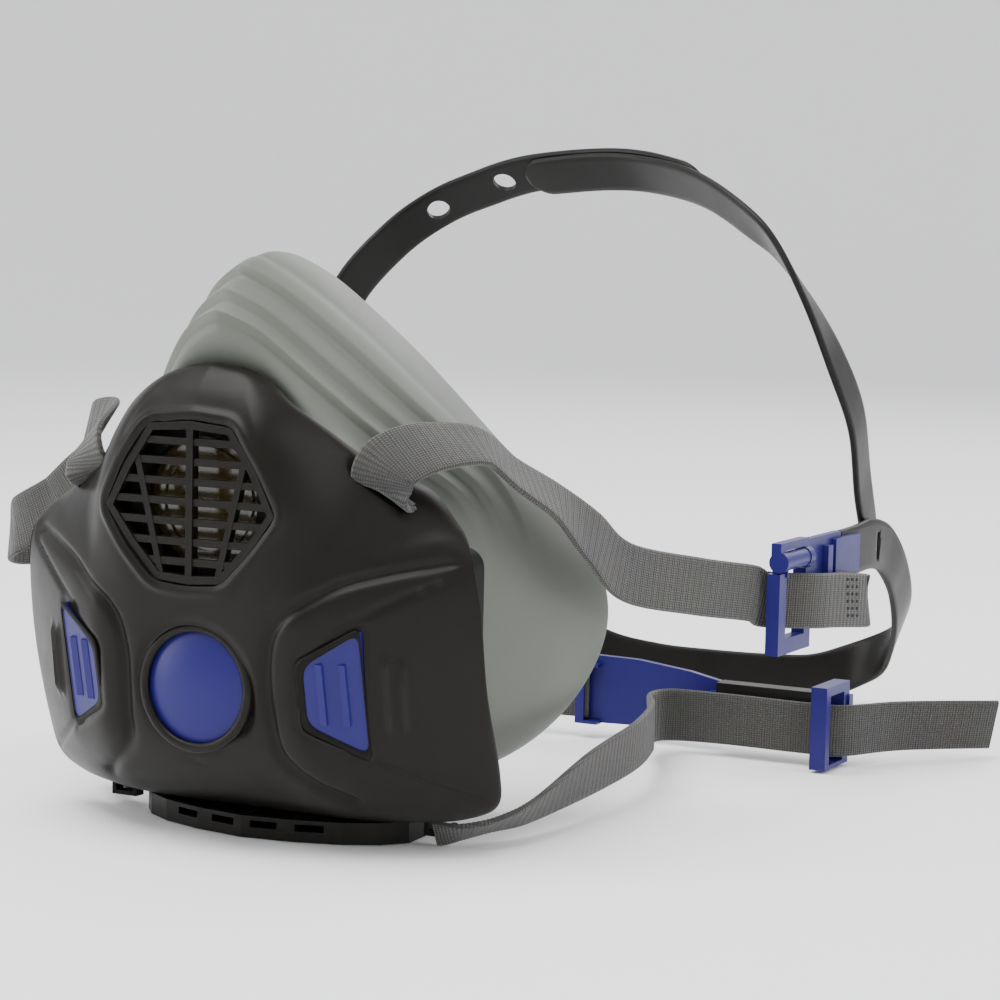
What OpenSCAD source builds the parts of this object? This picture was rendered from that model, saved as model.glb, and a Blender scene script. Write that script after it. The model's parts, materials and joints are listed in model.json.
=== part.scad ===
// Half-mask respirator with front shell, silicone face seal, voice diaphragm,
// seal-check button, cartridge release buttons, head harness and neck strap.
// Millimetres. +Z up, the front of the mask faces -Y, the wearer's left is +X.
// Origin: middle of the flat rest under the chin cover.

/* [Front shell] */
// Overall width of the front shell
shell_w = 111; // [106:0.5:114]
// Wall thickness of the front shell
shell_t = 2; // [1.6:0.1:2.4]
// Thickness of the inner body plate
plate_t = 4; // [3.5:0.1:4]
// Nominal length of the flat rest under the chin; it scales the rear part
rest_len = 42; // [36:1:46]

/* [Voice grille] */
// Number of horizontal grille bars
grille_bars = 7; // [5:1:9]
// Height of each grille bar
grille_bar = 1.5; // [1:0.1:2]
// Thickness of the voice diaphragm film
film_t = 0.3; // [0.2:0.05:0.4]

/* [Seal-check button] */
// Diameter of the button cap
button_d = 25; // [24:0.1:25]
// Radial running clearance of the button in its sleeve
button_clear = 0.06; // [0.03:0.01:0.09]
// Distance the button is pressed
button_travel = 4; // [3:0.1:4.2]
// Radius of curvature of the domed cap
button_dome = 38; // [30:1:60]

/* [Release buttons] */
// Gap round each release button in its window
window_gap = 0.6; // [0.4:0.1:1]
// Diameter of the guide post behind each release button
guide_d = 5; // [4:0.1:5]

/* [Cartridge ports] */
// Height of the cartridge port opening
port_h = 38; // [34:1:38]
// Width of the cartridge port opening
port_w = 8.8; // [7:0.1:9]

/* [Valves] */
// Diameter of the inhalation valve holes
inhale_d = 13; // [10:0.5:13]
// Diameter of the exhalation valve hole
exhale_d = 10; // [8:0.5:10]
// Thickness of the valve flaps
flap_t = 0.8; // [0.5:0.1:1]

/* [Straps] */
// Width of the elastic straps
elastic_w = 13; // [11:0.5:14]
// Thickness of the elastic straps
elastic_t = 1.3; // [1:0.1:1.6]
// Width of the moulded crown strap and rear band
cradle_w = 12; // [10:0.5:13]
// Thickness of the moulded crown strap and rear band
cradle_t = 1.6; // [1.2:0.1:1.6]
// Diameter of the size pegs on the crown strap
peg_d = 4.4; // [3.5:0.1:4.6]

/* [Hidden] */
$fn = 64;

C_BLACK = [0.07,0.068,0.065];
C_BLACK2 = [0.09,0.088,0.085];
C_GREY = [0.52,0.54,0.50];
C_BLUE = [0.10,0.10,0.42];
C_WEB = [0.32,0.32,0.29];
C_AMBER = [0.75,0.55,0.12];
C_STEEL = [0.7,0.7,0.72];
C_RUBBER = [0.05,0.05,0.05];

// ---------- helpers ----------
function cl(v,a,b) = min(max(v,a),b);
function ss(a,b,v) = let(t=cl((v-a)/(b-a),0,1)) t*t*(3-2*t);
function unit(v) = v/norm(v);
function cr(p,u) = let(n=len(p), i=min(floor(u),n-2), t=u-i,
  p0=p[max(i-1,0)], p1=p[i], p2=p[i+1], p3=p[min(i+2,n-1)])
  0.5*((2*p1)+(p2-p0)*t+(2*p0-5*p1+4*p2-p3)*t*t+(3*p1-p0-3*p2+p3)*t*t*t);

// Closed triangle body, turned so that its faces wind clockwise from outside.
module tribody(pts, f) {
  v=[for(t=f) pts[t[0]]*cross(pts[t[1]],pts[t[2]])];
  vol=v*[for(q=v) 1];
  polyhedron(points=pts, faces=(vol>0 ? [for(t=f) [t[0],t[2],t[1]]] : f), convexity=10);
}

// Tube of closed rings: rings[i][j], every ring the same length.
module ringbody(rings, loop=false) {
  n=len(rings); m=len(rings[0]);
  pts=[for(r=rings) for(p=r) p];
  last = loop ? n-1 : n-2;
  side=[for(i=[0:last]) for(j=[0:m-1])
    let(a=i*m+j, b=i*m+(j+1)%m, c=((i+1)%n)*m+(j+1)%m, d=((i+1)%n)*m+j)
    each [[a,b,c],[a,c,d]]];
  caps = loop ? [] : [for(j=[1:m-2]) each [[0,j+1,j],[(n-1)*m,(n-1)*m+j,(n-1)*m+j+1]]];
  tribody(pts, concat(side,caps));
}

// Flat strap along stations [[top edge],[bottom edge]], off = shift along its normal.
module ribbon(st, t, n, off=0, w=0) {
  N=len(st)-1;
  A=[for(k=[0:n]) cr([for(s=st) s[0]], k*N/n)];
  B=[for(k=[0:n]) cr([for(s=st) s[1]], k*N/n)];
  M=[for(k=[0:n]) (A[k]+B[k])/2];
  rings=[for(k=[0:n])
    let(tg=unit(M[min(k+1,n)]-M[max(k-1,0)]), wv=unit(A[k]-B[k]),
        nn=unit(cross(tg,wv)), hw=(w>0?w:norm(A[k]-B[k]))/2, c=M[k]+nn*off)
    [c+wv*hw-nn*t/2, c+wv*hw+nn*t/2, c-wv*hw+nn*t/2, c-wv*hw-nn*t/2]];
  ringbody(rings);
}

// Coil spring along +Y from y0 to y1 about (cx,cz).
module coil(cx, cz, y0, y1, r, wr, turns, seg, m) {
  n=turns*seg;
  rings=[for(k=[0:n]) let(a=360*k/seg, ca=cos(a), sa=sin(a),
      y=y0+wr+(y1-y0-2*wr)*k/n)
    [for(j=[0:m-1]) let(b=-360*j/m) [cx+(r+wr*cos(b))*ca, y+wr*sin(b), cz+(r+wr*cos(b))*sa]]];
  ringbody(rings);
}

module ycyl(x,z,y0,y1,d) translate([x,y1,z]) rotate([90,0,0]) cylinder(d=d,h=y1-y0);
module box(a,b) translate(a) cube(b-a);
module yprism(pts,y0,y1) translate([0,y1,0]) rotate([90,0,0]) linear_extrude(y1-y0) polygon(pts);
module mx() { mirror([1,0,0]) children(); }

// ---------- front shell surface ----------
SO = [[0,100,-34],[7,99,-34],[13,96.5,-34.5],[18.6,92.2,-35],[24.5,87.2,-31],
 [30,82,-26],[35,78.2,-20],[40.5,75,-16.5],[46.5,69.8,-18],[51,66.2,-21],
 [54,60.5,-23.5],[55.3,50,-22.3],[55.5,35,-19.5],[55.5,18,-13.2],[54,10.5,-11],[47,7,-10.5],
 [38,5.5,-10],[26,5,-10],[0,5,-10]];
YC = [[0,-24],[6,-31],[12,-35.5],[20,-38.8],[27,-40.6],[34,-41.7],[45,-43],
 [52,-43.6],[60,-43],[70,-41],[80,-38.5],[90,-36],[100,-34]];
TH = [[48,0],[54,1.2],[60,2.3],[70,4],[80,6.8],[88,9.5],[96,9],[100,7]];
TW = [[48,10],[56,14],[70,21],[80,18],[88,14],[96,10],[100,7]];
sx = shell_w/111;
SCZ = 45;
SN = 3.2;
function front_y(x,z) = let(ax=abs(x)/sx, e=max(ax-24,0),
   tw=lookup(z,TW)) lookup(z,YC)+0.49*e+0.006*e*e
   - lookup(z,TH)*(1-ss(tw,tw+12,ax));
// u 0..2 round the rim (0 top, 1 bottom), s 0..1 from the middle to the rim,
// d = inward offset.
function shell_pt(u,s,d) = let(v=(u<=1?u:2-u)*18, sg=(u<=1?1:-1), o=cr(SO,v),
   r=norm([o[0]*sx,o[1]-SCZ]), k=(r-d)/r, f=90*s,
   a=pow(sin(f),2/SN), b=1-pow(max(cos(f),0),2/SN),
   ox=o[0]*sx*sg, x=ox*a*k, z=SCZ+(o[1]-SCZ)*a*k)
   [x, front_y(x/k,SCZ+(z-SCZ)/k)+(o[2]-front_y(ox,o[1]))*b + d*(1-b), z];
SU = 60;
SS = 10;
module shell_skin() {
  outer=[for(i=[1:SS]) [for(j=[0:SU-1]) shell_pt(2*j/SU,i/SS,0)]];
  inner=[for(i=[SS:-1:1]) [for(j=[0:SU-1]) shell_pt(2*j/SU,i/SS,shell_t)]];
  pts=concat([shell_pt(0,0,0)],[for(r=outer) for(p=r) p],[for(r=inner) for(p=r) p],[shell_pt(0,0,shell_t)]);
  n=2*SS; last=1+n*SU;
  f=concat(
    [for(j=[0:SU-1]) [0,1+j,1+(j+1)%SU]],
    [for(i=[0:n-2]) for(j=[0:SU-1]) let(a=1+i*SU+j,b=1+i*SU+(j+1)%SU,c=b+SU,d=a+SU) each [[a,d,c],[a,c,b]]],
    [for(j=[0:SU-1]) [last,1+(n-1)*SU+(j+1)%SU,1+(n-1)*SU+j]]);
  tribody(pts,f);
}
HEX = [[0,88.7],[9.8,87.8],[15.6,79.5],[20.1,70.6],[14.5,63],[7.9,56.2],[0,55.6],
 [-7.9,56.2],[-14.5,63],[-20.1,70.6],[-15.6,79.5],[-9.8,87.8]];
function grow(p,c,g) = [for(q=p) let(v=q-c) c+v*(norm(v)+g)/norm(v)];
HC=[0,72];
WIN = [[24.1,27.3],[24.1,41.2],[36,48.7],[36,21.2]];
WC = [30.5,35];
BZ = 34.1;
SLOT = [[30.4,77.6],[39.4,71.2],[40.6,73],[31.6,79.4]];

module shell_half_cuts() {
  yprism(WIN,-60,-20);
  yprism(SLOT,-60,-20.5);
}
module front_shell() color(C_BLACK) difference() {
  union() {
    shell_skin();
    for(s=[1,-1]) { ycyl(s*33,61,-34.8,-20,5); ycyl(s*29,14.5,-28.8,-20,5); }
  }
  yprism(grow(HEX,HC,0.4),-60,-30);
  ycyl(0,BZ,-60,-30,26);
  shell_half_cuts(); mx() shell_half_cuts();
}

// ---------- inner body ----------
IP = [[0,97],[12,92],[22,82],[27,73],[33,64],[46,64],[50,59],[51,48],[50.6,33],[48.5,24.4],
 [45,17],[36,11.4],[0,10.4]];
IPF = concat(IP,[for(i=[len(IP)-2:-1:1]) [-IP[i][0],IP[i][1]]]);
PY0=-20; PY1=PY0+plate_t;
PX=44.2; PZ=43;
EZ=16.4;
module rrect_y(cx,cz,w,h,r,y0,y1) translate([cx,y1,cz]) rotate([90,0,0]) linear_extrude(y1-y0)
  union(){ square([w-2*r,h],center=true); square([w,h-2*r],center=true);
   for(a=[-1,1]) for(b=[-1,1]) translate([a*(w/2-r),b*(h/2-r)]) circle(r=r,$fn=32); }
module inner_body() color(C_BLACK2) difference() {
  union() {
    yprism(IPF,PY0,PY1);
    ycyl(0,72,-36.5,PY0,34);
    yprism(grow(HEX,HC,-0.5),-36.5,-35.5);
    for(s=[1,-1]) ycyl(s*30,35,-30,PY0,guide_d);
    for(s=[1,-1]) ycyl(s*22,54,PY0-2,PY0,inhale_d+4);
  }
  ycyl(0,72,-40,-10,30);
  ycyl(0,BZ,-25,-10,16);
  ycyl(0,EZ,-25,-10,exhale_d);
  for(s=[1,-1]) { rrect_y(s*PX,PZ,port_w,port_h,3,-25,-10); ycyl(s*22,54,-25,-10,inhale_d); }
}

// ---------- face seal ----------
SF = [[0,-30.4,97],[10,-30.4,94.6],[18,-30,90],[26,-27,84],[31,-21,77],[34.6,-15.8,69.5],
 [36,-15.8,58],[36.5,-15.8,45],[36.5,-15.8,32],[35.5,-15.8,20],[30,-15.8,12],[16,-15.8,8],[0,-15.8,7.4]];
SM1 = [[0,-34.5,108.5],[8,-32.5,105],[16,-27.5,97],[24,-20,88],[31.5,-12.5,80],[39.5,-3,72],
 [42,2,60],[42.5,3,45],[42,3,31],[40,1,19],[33,-1,11.5],[18,-2,8],[0,-2,7.2]];
SM2 = [[0,-21,121.5],[9,-17,115.5],[18,-9,106],[26,-2,96.5],[33,5,87.5],[41.5,13,77],
 [46.5,22,63.5],[48.8,27,46.5],[47.8,26,32],[43,20,19],[34,14,11],[18,11,7.8],[0,10,7]];
SB = [[0,-7,122.2],[8,-3,117.5],[15,6,108.5],[22,13,99.5],[29.5,19,89.5],[39,25,77.5],
 [46.5,38,64.5],[50,47,47],[49,45,33],[44,36,20.5],[34,28,12],[18,24,8.4],[0,22,7.4]];
// inward wall direction at a point between a and b, in the plane of r and +Y
function inw(a,b,r) = let(d=b-a, q=unit([d*r,d[1],0])) r*(-q[1]) + [0,q[0],0];
function seal_sec(u) = let(v=(u<=1?u:2-u)*12, sg=(u<=1?1:-1), F=cr(SF,v), B=cr(SB,v),
   m1=cr(SM1,v), m2=cr(SM2,v), c=[0,0,52], t=2, lip=11,
   rf=unit([F[0],0,F[2]-c[2]]), r1=unit([m1[0],0,m1[2]-c[2]]), r2=unit([m2[0],0,m2[2]-c[2]]),
   rb=unit([B[0],0,B[2]-c[2]]),
   P=[F, m1, m2, B, B-rb*3+[0,1.6,0], B-rb*lip+[0,-3,0], B-rb*lip+[0,-4.4,0],
      B-rb*4+[0,-1.4,0], m2+inw(m1,B,r2)*t, m1+inw(F,m2,r1)*t, F+inw(F,m1,rf)*t])
   [for(p=P) [p[0]*sg,p[1],p[2]]];
module face_seal() color(C_GREY)
  ringbody([for(j=[0:47]) seal_sec(2*j/48)],loop=true);

// ---------- chin cover ----------
CC = [[0,-23.6],[12,-21.8],[22,-18.6],[28.5,-14.6],[32.6,-9.6],[32,2],[27,14],[18,19],[0,20]];
CCF = concat(CC,[for(i=[len(CC)-2:-1:1]) [-CC[i][0],CC[i][1]]]);
module chin_cover() color(C_BLACK) difference() {
  linear_extrude(4.6) polygon([for(p=CCF) [p[0], p[1]>0 ? p[1]*rest_len/42 : p[1]]]);
  difference() {
    translate([0,0,1.6]) linear_extrude(4) polygon([for(p=CCF) [p[0]*0.94, (p[1]>0 ? p[1]*rest_len/42 : p[1])*0.92]]);
    for(x=[-20,-10,0,10,20]) translate([x-0.6,-30,0]) cube([1.2,60,4.6]);
  }
  for(x=[-15,-5,5,15]) translate([x-3,-30,2.2]) cube([6,14,1.5]);
  for(x=[-15,-5,5,15]) for(y=[-12,-4,4]) translate([x-3,y,-1]) cube([6,2.2,3]);
}

// ---------- voice grille and diaphragm ----------
GY0=-44.7; GY1=-42.5;
module grille_cover() color(C_BLACK2) {
  difference() { yprism(HEX,GY0,GY1); yprism(grow(HEX,HC,-1.7),GY0-1,GY1+1); }
  intersection() {
    yprism(grow(HEX,HC,-0.6),GY0,GY1);
    union() {
      for(i=[1:grille_bars]) translate([-25,GY0+0.3,56+i*32.5/(grille_bars+1)-grille_bar/2]) cube([50,1.6,grille_bar]);
      translate([-0.8,GY0,50]) cube([1.6,GY1-GY0,45]);
      for(s=[1,-1]) translate([s*6.5,GY0+0.2,56]) rotate([0,s*14,0]) translate([-0.7,0,-2]) cube([1.4,GY1-GY0-0.4,40]);
    }
  }
}
module diaphragm_gasket() color(C_RUBBER) difference() { ycyl(0,72,-37.3,-36.5,34); ycyl(0,72,-38,-36,30); }
module diaphragm_film() color(C_AMBER) {
  ycyl(0,72,-37.3-film_t,-37.3,33);
  difference() { ycyl(0,72,-38.2,-37.3,22); ycyl(0,72,-39,-37.2,20.4); }
}
module diaphragm_ring() color(C_BLACK2) difference() {
  union() { ycyl(0,72,-40.4,-37.3-film_t,34.4); }
  ycyl(0,72,-41,-36,27);
}

// ---------- button sleeve, valves, ports ----------
module button_sleeve() color(C_BLACK2) difference() {
  ycyl(0,BZ,-34.2,PY0,28.6);
  ycyl(0,BZ,-39,PY0+1,button_d+2*button_clear);
  ycyl(0,EZ,-25.4,PY0+1,exhale_d+4.4);
  for(a=[45,135,225,315]) translate([0,0,BZ]) rotate([0,a,0]) translate([0,-29,-4]) cube([20,7,8]);
}
module exhalation_seat() color(C_GREY) difference() {
  ycyl(0,EZ,PY0-1.6,PY0,exhale_d+3);
  ycyl(0,EZ,PY0-2,PY0+1,exhale_d-0.6);
}
module exhalation_flap() color(C_GREY) { ycyl(0,EZ,PY0-1.62-flap_t,PY0-1.62,exhale_d+2.6); ycyl(0,EZ,PY0-1.62,PY0-0.4,2.4); }
module inhalation_flap() { ycyl(22,54,PY1+0.02,PY1+0.02+flap_t,inhale_d+3); ycyl(22,54,PY1-1.4,PY1+0.1,2.6); }
module port_ring() difference() {
  rrect_y(PX,PZ,port_w+2.8,port_h+2.8,4.2,PY1,PY1+4.5);
  rrect_y(PX,PZ,port_w,port_h,3,PY1-1,PY1+6);
  rrect_y(PX,PZ,port_w+1.2,port_h+1.2,3.4,PY1+2.6,PY1+6);
}
module port_gasket() difference() {
  rrect_y(PX,PZ,port_w+1.2,port_h+1.2,3.4,PY1+2.6,PY1+4.9);
  rrect_y(PX,PZ,port_w-0.6,port_h-0.6,2.7,PY1+2,PY1+6);
}
module lower_anchor() {
  difference() {
    box([36,-9.4,2],[42.4,-6.6,4.9]);
    box([37,-11,2.9],[41.4,-5,6]);
  }
}

// ---------- seal-check button ----------
SPR = (button_d-4)/2-0.45;
module seal_check_button() color(C_BLUE) {
  difference() {
    union() {
      intersection() {
        translate([0,-42.6+button_dome,BZ]) sphere(r=button_dome,$fn=96);
        ycyl(0,BZ,-44,-30.5,button_d);
      }
    }
    ycyl(0,BZ,-37,-29,button_d-4);
  }
  ycyl(0,BZ,-37.2,-24.6,6);
}
module shutoff_disc() color(C_RUBBER) difference() {
  ycyl(0,BZ,-26.6,-24.2,2*(SPR-0.4)-0.9);
  ycyl(0,BZ,-27,-24.6,6);
}
module seal_check_spring() color(C_STEEL) translate([0,0,BZ]) coil(0,0,-36.9,PY0-0.1,SPR,0.4,5,14,6);

// ---------- release buttons ----------
// front plane y = -42.2 + 0.49(x-24.1) - 0.22(z-41.2)
function wy(x,z,o) = -42.2+o+0.49*(x-24.1)-0.22*(z-41.2);
module release_half() {
  q=grow(WIN,WC,-window_gap);
  qi=q;
  tribody(concat([for(p=q) [p[0],wy(p[0],p[1],0),p[1]]],[for(p=q) [p[0],-27.6,p[1]]]),
    [[0,1,2],[0,2,3],[4,6,5],[4,7,6],[0,4,5],[0,5,1],[1,5,6],[1,6,2],[2,6,7],[2,7,3],[3,7,4],[3,4,0]]);
}
module release_button() {
  difference() {
    union() {
      release_half();
      for(x=[28.2,32.4]) translate([x,wy(x,35,-0.15),35]) rotate([12.4,0,0]) translate([-0.8,-0.35,-6.5]) cube([1.6,3,13]);
      // latch arm and tab
      box([33.6,-29,42],[37.6,-22.6,47.4]);
      translate([34.8,-24.3,44.6]) rotate([0,14,0]) cube([3,1.7,21.2]);
      box([39.4,-24.3,64.4],[42.2,-12.8,66.2]);
      box([40.6,-15,64.4],[45,-12.8,67.8]);
    }
    ycyl(30,35,-34.5,-20,guide_d+0.12);
  }
}
module release_spring() coil(30,35,-27.5,PY0-0.1,3.7,0.4,4,10,5);

// ---------- head harness ----------
UEL = [[[37.5,-19,87.4],[44.5,-21,81]],[[43.5,-2,86],[48.5,-11,81.5]],[[48,7,79.4],[53,-4,75.6]],
 [[52.6,17.5,73.4],[56.6,6.5,68.8]],[[57.4,25.6,68],[59.4,18.5,58]],[[60,35,61],[61,35,48]],
[[65.5,61,55.5],[65.5,61.5,42.5]],
 [[69.8,82,52],[69.8,82.5,39]],[[71.2,88,50],[71.2,88.5,37]],[[78.5,99,49],[78.5,99.5,36]],
 [[80,110,48],[80,111.5,35]],[[80,128,45.5],[80,131.5,33]]];
UER = [[[-37.5,-16,89],[-43,-18,79]],[[-47,-10,88],[-50,-11,76]],[[-53,-3,84.5],[-54,-2,72]],
 [[-58,3,78],[-59,2,65.5]],[[-67,4,70],[-67,2.5,57.5]],[[-79,5,63.5],[-79,3.5,51]],[[-84,14,60],[-84,13,47.5]],
 [[-84,36,58.5],[-84,36,46]],[[-76.5,65,56],[-76.5,65,43.5]],[[-70.5,82,52.5],[-70.5,82.5,39.5]],
 [[-71.2,88,50],[-71.2,88.5,37]],[[-78.5,99,49],[-78.5,99.5,36]],
 [[-80,110,48],[-80,111.5,35]],[[-80,128,45.5],[-80,131.5,33]]];
// crown strap centre line and the direction of its width
CM = [[-70.6,156,50],[-70.8,151,59.5],[-74,140,82],[-73,138,96],[-70,140,109],[-62,149,122],[-52,153,130],
 [-40,153,135],[-24,151,139.5],[-2,147,141.5],[14,143,141],[32,135,137.6],[48,128,130],[57,126,123],
 [66,125,110.6],[72,129,96],[74,138,82],[72.9,147,65],[72.3,156,50]];
CN = [[-10,1,1],[-10,1,0],[-10,1.5,0.5],[-10,3,2],[-9,4.5,3],[-7,5.5,4.5],[-5,6.5,5.5],
 [-3.5,7,6],[-2,7.2,6.5],[0,7.5,6.6],[1,7.4,6.6],[3,7,6.4],[6.4,5.8,5.2],[8.6,4,3.6],
 [9.6,2.2,2.2],[10,1,1],[10,1,0.5],[10,1,0],[10,1,1]];
function ct(i) = unit(CM[min(i+1,18)]-CM[max(i-1,0)]);
function cw(i) = unit(cross(ct(i),CN[i]));
function cst(a,b) = [for(i=[a:b]) [CM[i]+cw(i)*cradle_w/2, CM[i]-cw(i)*cradle_w/2]];
module crown_outer() ribbon(cst(0,11),cradle_t,44,-0.95);
module crown_inner() ribbon(cst(8,18),cradle_t,40,0.95);
PEGX=[-13,2];
function seg_at(x) = [for(k=[0:17]) if(CM[k][0]<=x && CM[k+1][0]>x) k][0];
function crown_at(x) = let(i=seg_at(x)) cr(CM,i+(x-CM[i][0])/(CM[i+1][0]-CM[i][0]));
function out_at(x) = let(i=seg_at(x)) unit(cr(CN,i+(x-CM[i][0])/(CM[i+1][0]-CM[i][0])));
// cylinder through the strap at x, from h0 to h1 along the outward direction
module along(x,h0,h1,d) {
  c=crown_at(x); n=out_at(x);
  translate(c+n*h0) rotate([0,acos(n[2]),atan2(n[1],n[0])]) cylinder(d=d,h=h1-h0);
}
module crown_strap_right() color(C_BLACK2) difference() {
  crown_outer();
  for(x=[-52,-31.5,PEGX[0],PEGX[1]]) along(x,-6,6,peg_d+1.6);
}
module crown_strap_left() color(C_BLACK2) {
  crown_inner();
  for(x=PEGX) along(x,-1.2,3.2,peg_d);
}
RB = [[[74.2,125,56.4],[74.2,125,44.4]],[[74.2,136,56.6],[74.2,136,44.4]],[[74,150,57],[74,148,44.6]],[[73.8,163,53.5],[73.4,157,42.6]],
 [[73.2,176,44.5],[72.4,168.5,35]],[[70.5,188,33],[69,180.8,23.5]],[[63.6,197,23.5],[61.6,193,12.2]],
 [[52.6,200,17.6],[51.4,198,5.8]],[[41,198,13.8],[41,197,1.8]],[[28,196,13],[28,194.6,1.2]],[[12,194,13],[12,192.6,1.2]],[[-2,190,14],[-2,188.4,2.2]],
 [[-16,184.6,17.5],[-16,182,5.8]],[[-38,182,27],[-36,178,15.6]],[[-58,178,38.5],[-57,172,28]],[[-70,170,49],[-69.6,163.6,39]],
 [[-73.8,160,55.6],[-73.4,154,45]],[[-74.2,146,57.4],[-74.2,145,45]],[[-74.2,135,56.6],[-74.2,135,44.4]],[[-74.2,125,56.4],[-74.2,125,44.4]]];
module rear_band() color(C_BLACK2) difference() {
  ribbon(RB,cradle_t,76);
  for(s=[1,-1]) translate([s*60,152,50]) cube([40,2.2,7],center=true);
}
module buckle_plate() {
  difference() {
    union() {
      box([73.6,104.6,44.6],[75.4,123.9,56.4]);
      box([73.6,101.5,52],[75.4,104.7,56.4]);
      box([73.6,84.6,55.1],[76,101.6,57]);
      translate([75.5,87.2,52.6]) rotate([90,0,0]) cylinder(d=4.8,h=2.6);
      translate([75.5,101.6,52.6]) rotate([90,0,0]) cylinder(d=4.8,h=2.6);
      box([73.6,84.6,52.6],[76,87.2,56]);
      box([73.6,99,52.6],[76,101.6,56]);
      box([75.3,112,46.5],[77,115,54]);
      box([75.05,118,46],[76.6,134,55]);
    }
  }
  translate([75.5,101,52.6]) rotate([90,0,0]) cylinder(d=2.3,h=16);
}
module buckle_frame() {
  difference() {
    union() {
      translate([75.5,98.7,52.6]) rotate([90,0,0]) cylinder(d=4.4,h=11.2);
      box([73,88,48.9],[76.4,98.2,51.4]);
      box([72.8,84.4,31],[76,104,51]);
    }
    box([70,88.6,34.6],[78,100.2,50.6]);
    translate([75.5,100,52.6]) rotate([90,0,0]) cylinder(d=2.42,h=16);
    box([70,80,49.9],[78,87.5,56]); box([70,98.9,49.9],[78,106,56]);
  }
}

// ---------- neck strap ----------
LEL = [[[52,-5,5.6],[43.5,1,1.6]],[[55.5,3,11],[50,9,2.4]],[[56.4,27,16.6],[54,30,4.6]],[[52.6,58,17.6],[51.4,60,5.6]],
 [[44,86,16.8],[43,88,4.6]],[[35.5,104,16],[35.5,106,3.5]],[[37,113.5,15.8],[37,114.5,2.8]],[[50,116,15.6],[50,116,2.6]],[[70,116.4,15.5],[70,116.4,2.5]],
 [[79,119.4,15.2],[79,119.4,2.2]],[[89,134,15],[88,136,2]],[[107,150,14.5],[105,154,1.8]]];
LER = [[[-52,-5,5.6],[-43.5,1,1.6]],[[-55.5,3,11],[-50,9,2.4]],[[-56.4,27,16.6],[-54,30,4.6]],[[-54,60,18],[-53,62,6]],
 [[-44,88,17.5],[-43,90,5]],[[-26,108,17.5],[-26,110,4.8]],[[-6,117,17.5],[-6,118,4.8]],[[11,120.6,17.5],[11,120.8,4.8]]];
module clasp_hook() color(C_BLUE) {
  translate([0,123.6,12]) rotate([90,0,0]) linear_extrude(1.8) polygon([[8,-8.4],[40,-7.4],[46,-6.2],[46,5.4],[38,7],[24,8.6],[12,8.8],[8,7.4]]);
  difference() { box([8,119.2,3.6],[10.4,123.6,19.4]); box([7,119.7,4.5],[11.6,121.75,17.8]); }
  box([8,119.2,3.6],[14,121.9,4.4]); box([8,119.2,18],[14,121.9,18.8]);
  box([44,120.4,8.4],[51,122,15]);
}
module clasp_plate() color(C_BLACK2) {
  difference() {
    box([46.6,118.2,5.4],[72.4,123.2,17.6]);
    box([46,119.4,6.6],[53,125,16.4]);
    box([56,119.4,7.4],[70,125,15.6]);
  }
  box([72.2,120.9,7.6],[74.6,122.7,15.4]);
}
module clasp_slider() color(C_BLUE) difference() {
  union() {
    box([74.8,109.4,0.6],[78.8,124.4,20.4]);
    box([73.2,122.9,4],[79.4,125.4,17]);
  }
  box([73,112,1.6],[80,120.9,18.2]);
}

front_shell();
inner_body();
face_seal();
chin_cover();
grille_cover();
diaphragm_gasket();
diaphragm_film();
diaphragm_ring();
button_sleeve();
exhalation_seat();
color(C_BLACK2) port_ring();  // port_ring_left
color(C_BLACK2) mx() port_ring();  // port_ring_right
color(C_RUBBER) port_gasket();  // port_gasket_left
color(C_RUBBER) mx() port_gasket();  // port_gasket_right
color(C_BLACK2) { lower_anchor(); mx() lower_anchor(); }  // lower_anchors
seal_check_button();
shutoff_disc();
seal_check_spring();
color(C_BLUE) release_button();  // release_button_left
color(C_BLUE) mx() release_button();  // release_button_right
color(C_STEEL) release_spring();  // release_spring_left
color(C_STEEL) mx() release_spring();  // release_spring_right
color(C_GREY) inhalation_flap();  // inhalation_flap_left
color(C_GREY) mx() inhalation_flap();  // inhalation_flap_right
exhalation_flap();
color(C_WEB) ribbon(UEL,elastic_t,44,0,elastic_w);  // upper_elastic_left
color(C_WEB) ribbon(UER,elastic_t,56,0,elastic_w);  // upper_elastic_right
crown_strap_left();
crown_strap_right();
rear_band();
color(C_BLUE) buckle_plate();  // buckle_plate_left
color(C_BLUE) mx() buckle_plate();  // buckle_plate_right
color(C_BLUE) buckle_frame();  // buckle_frame_left
color(C_BLUE) mx() buckle_frame();  // buckle_frame_right
color(C_WEB) ribbon(LEL,elastic_t,48,0,elastic_w-0.6);  // lower_elastic_left
color(C_WEB) ribbon(LER,elastic_t,34,0,elastic_w-0.6);  // lower_elastic_right
clasp_hook();
clasp_plate();
clasp_slider();
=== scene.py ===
import bpy, math, json
import numpy as np
from mathutils import Matrix


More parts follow.
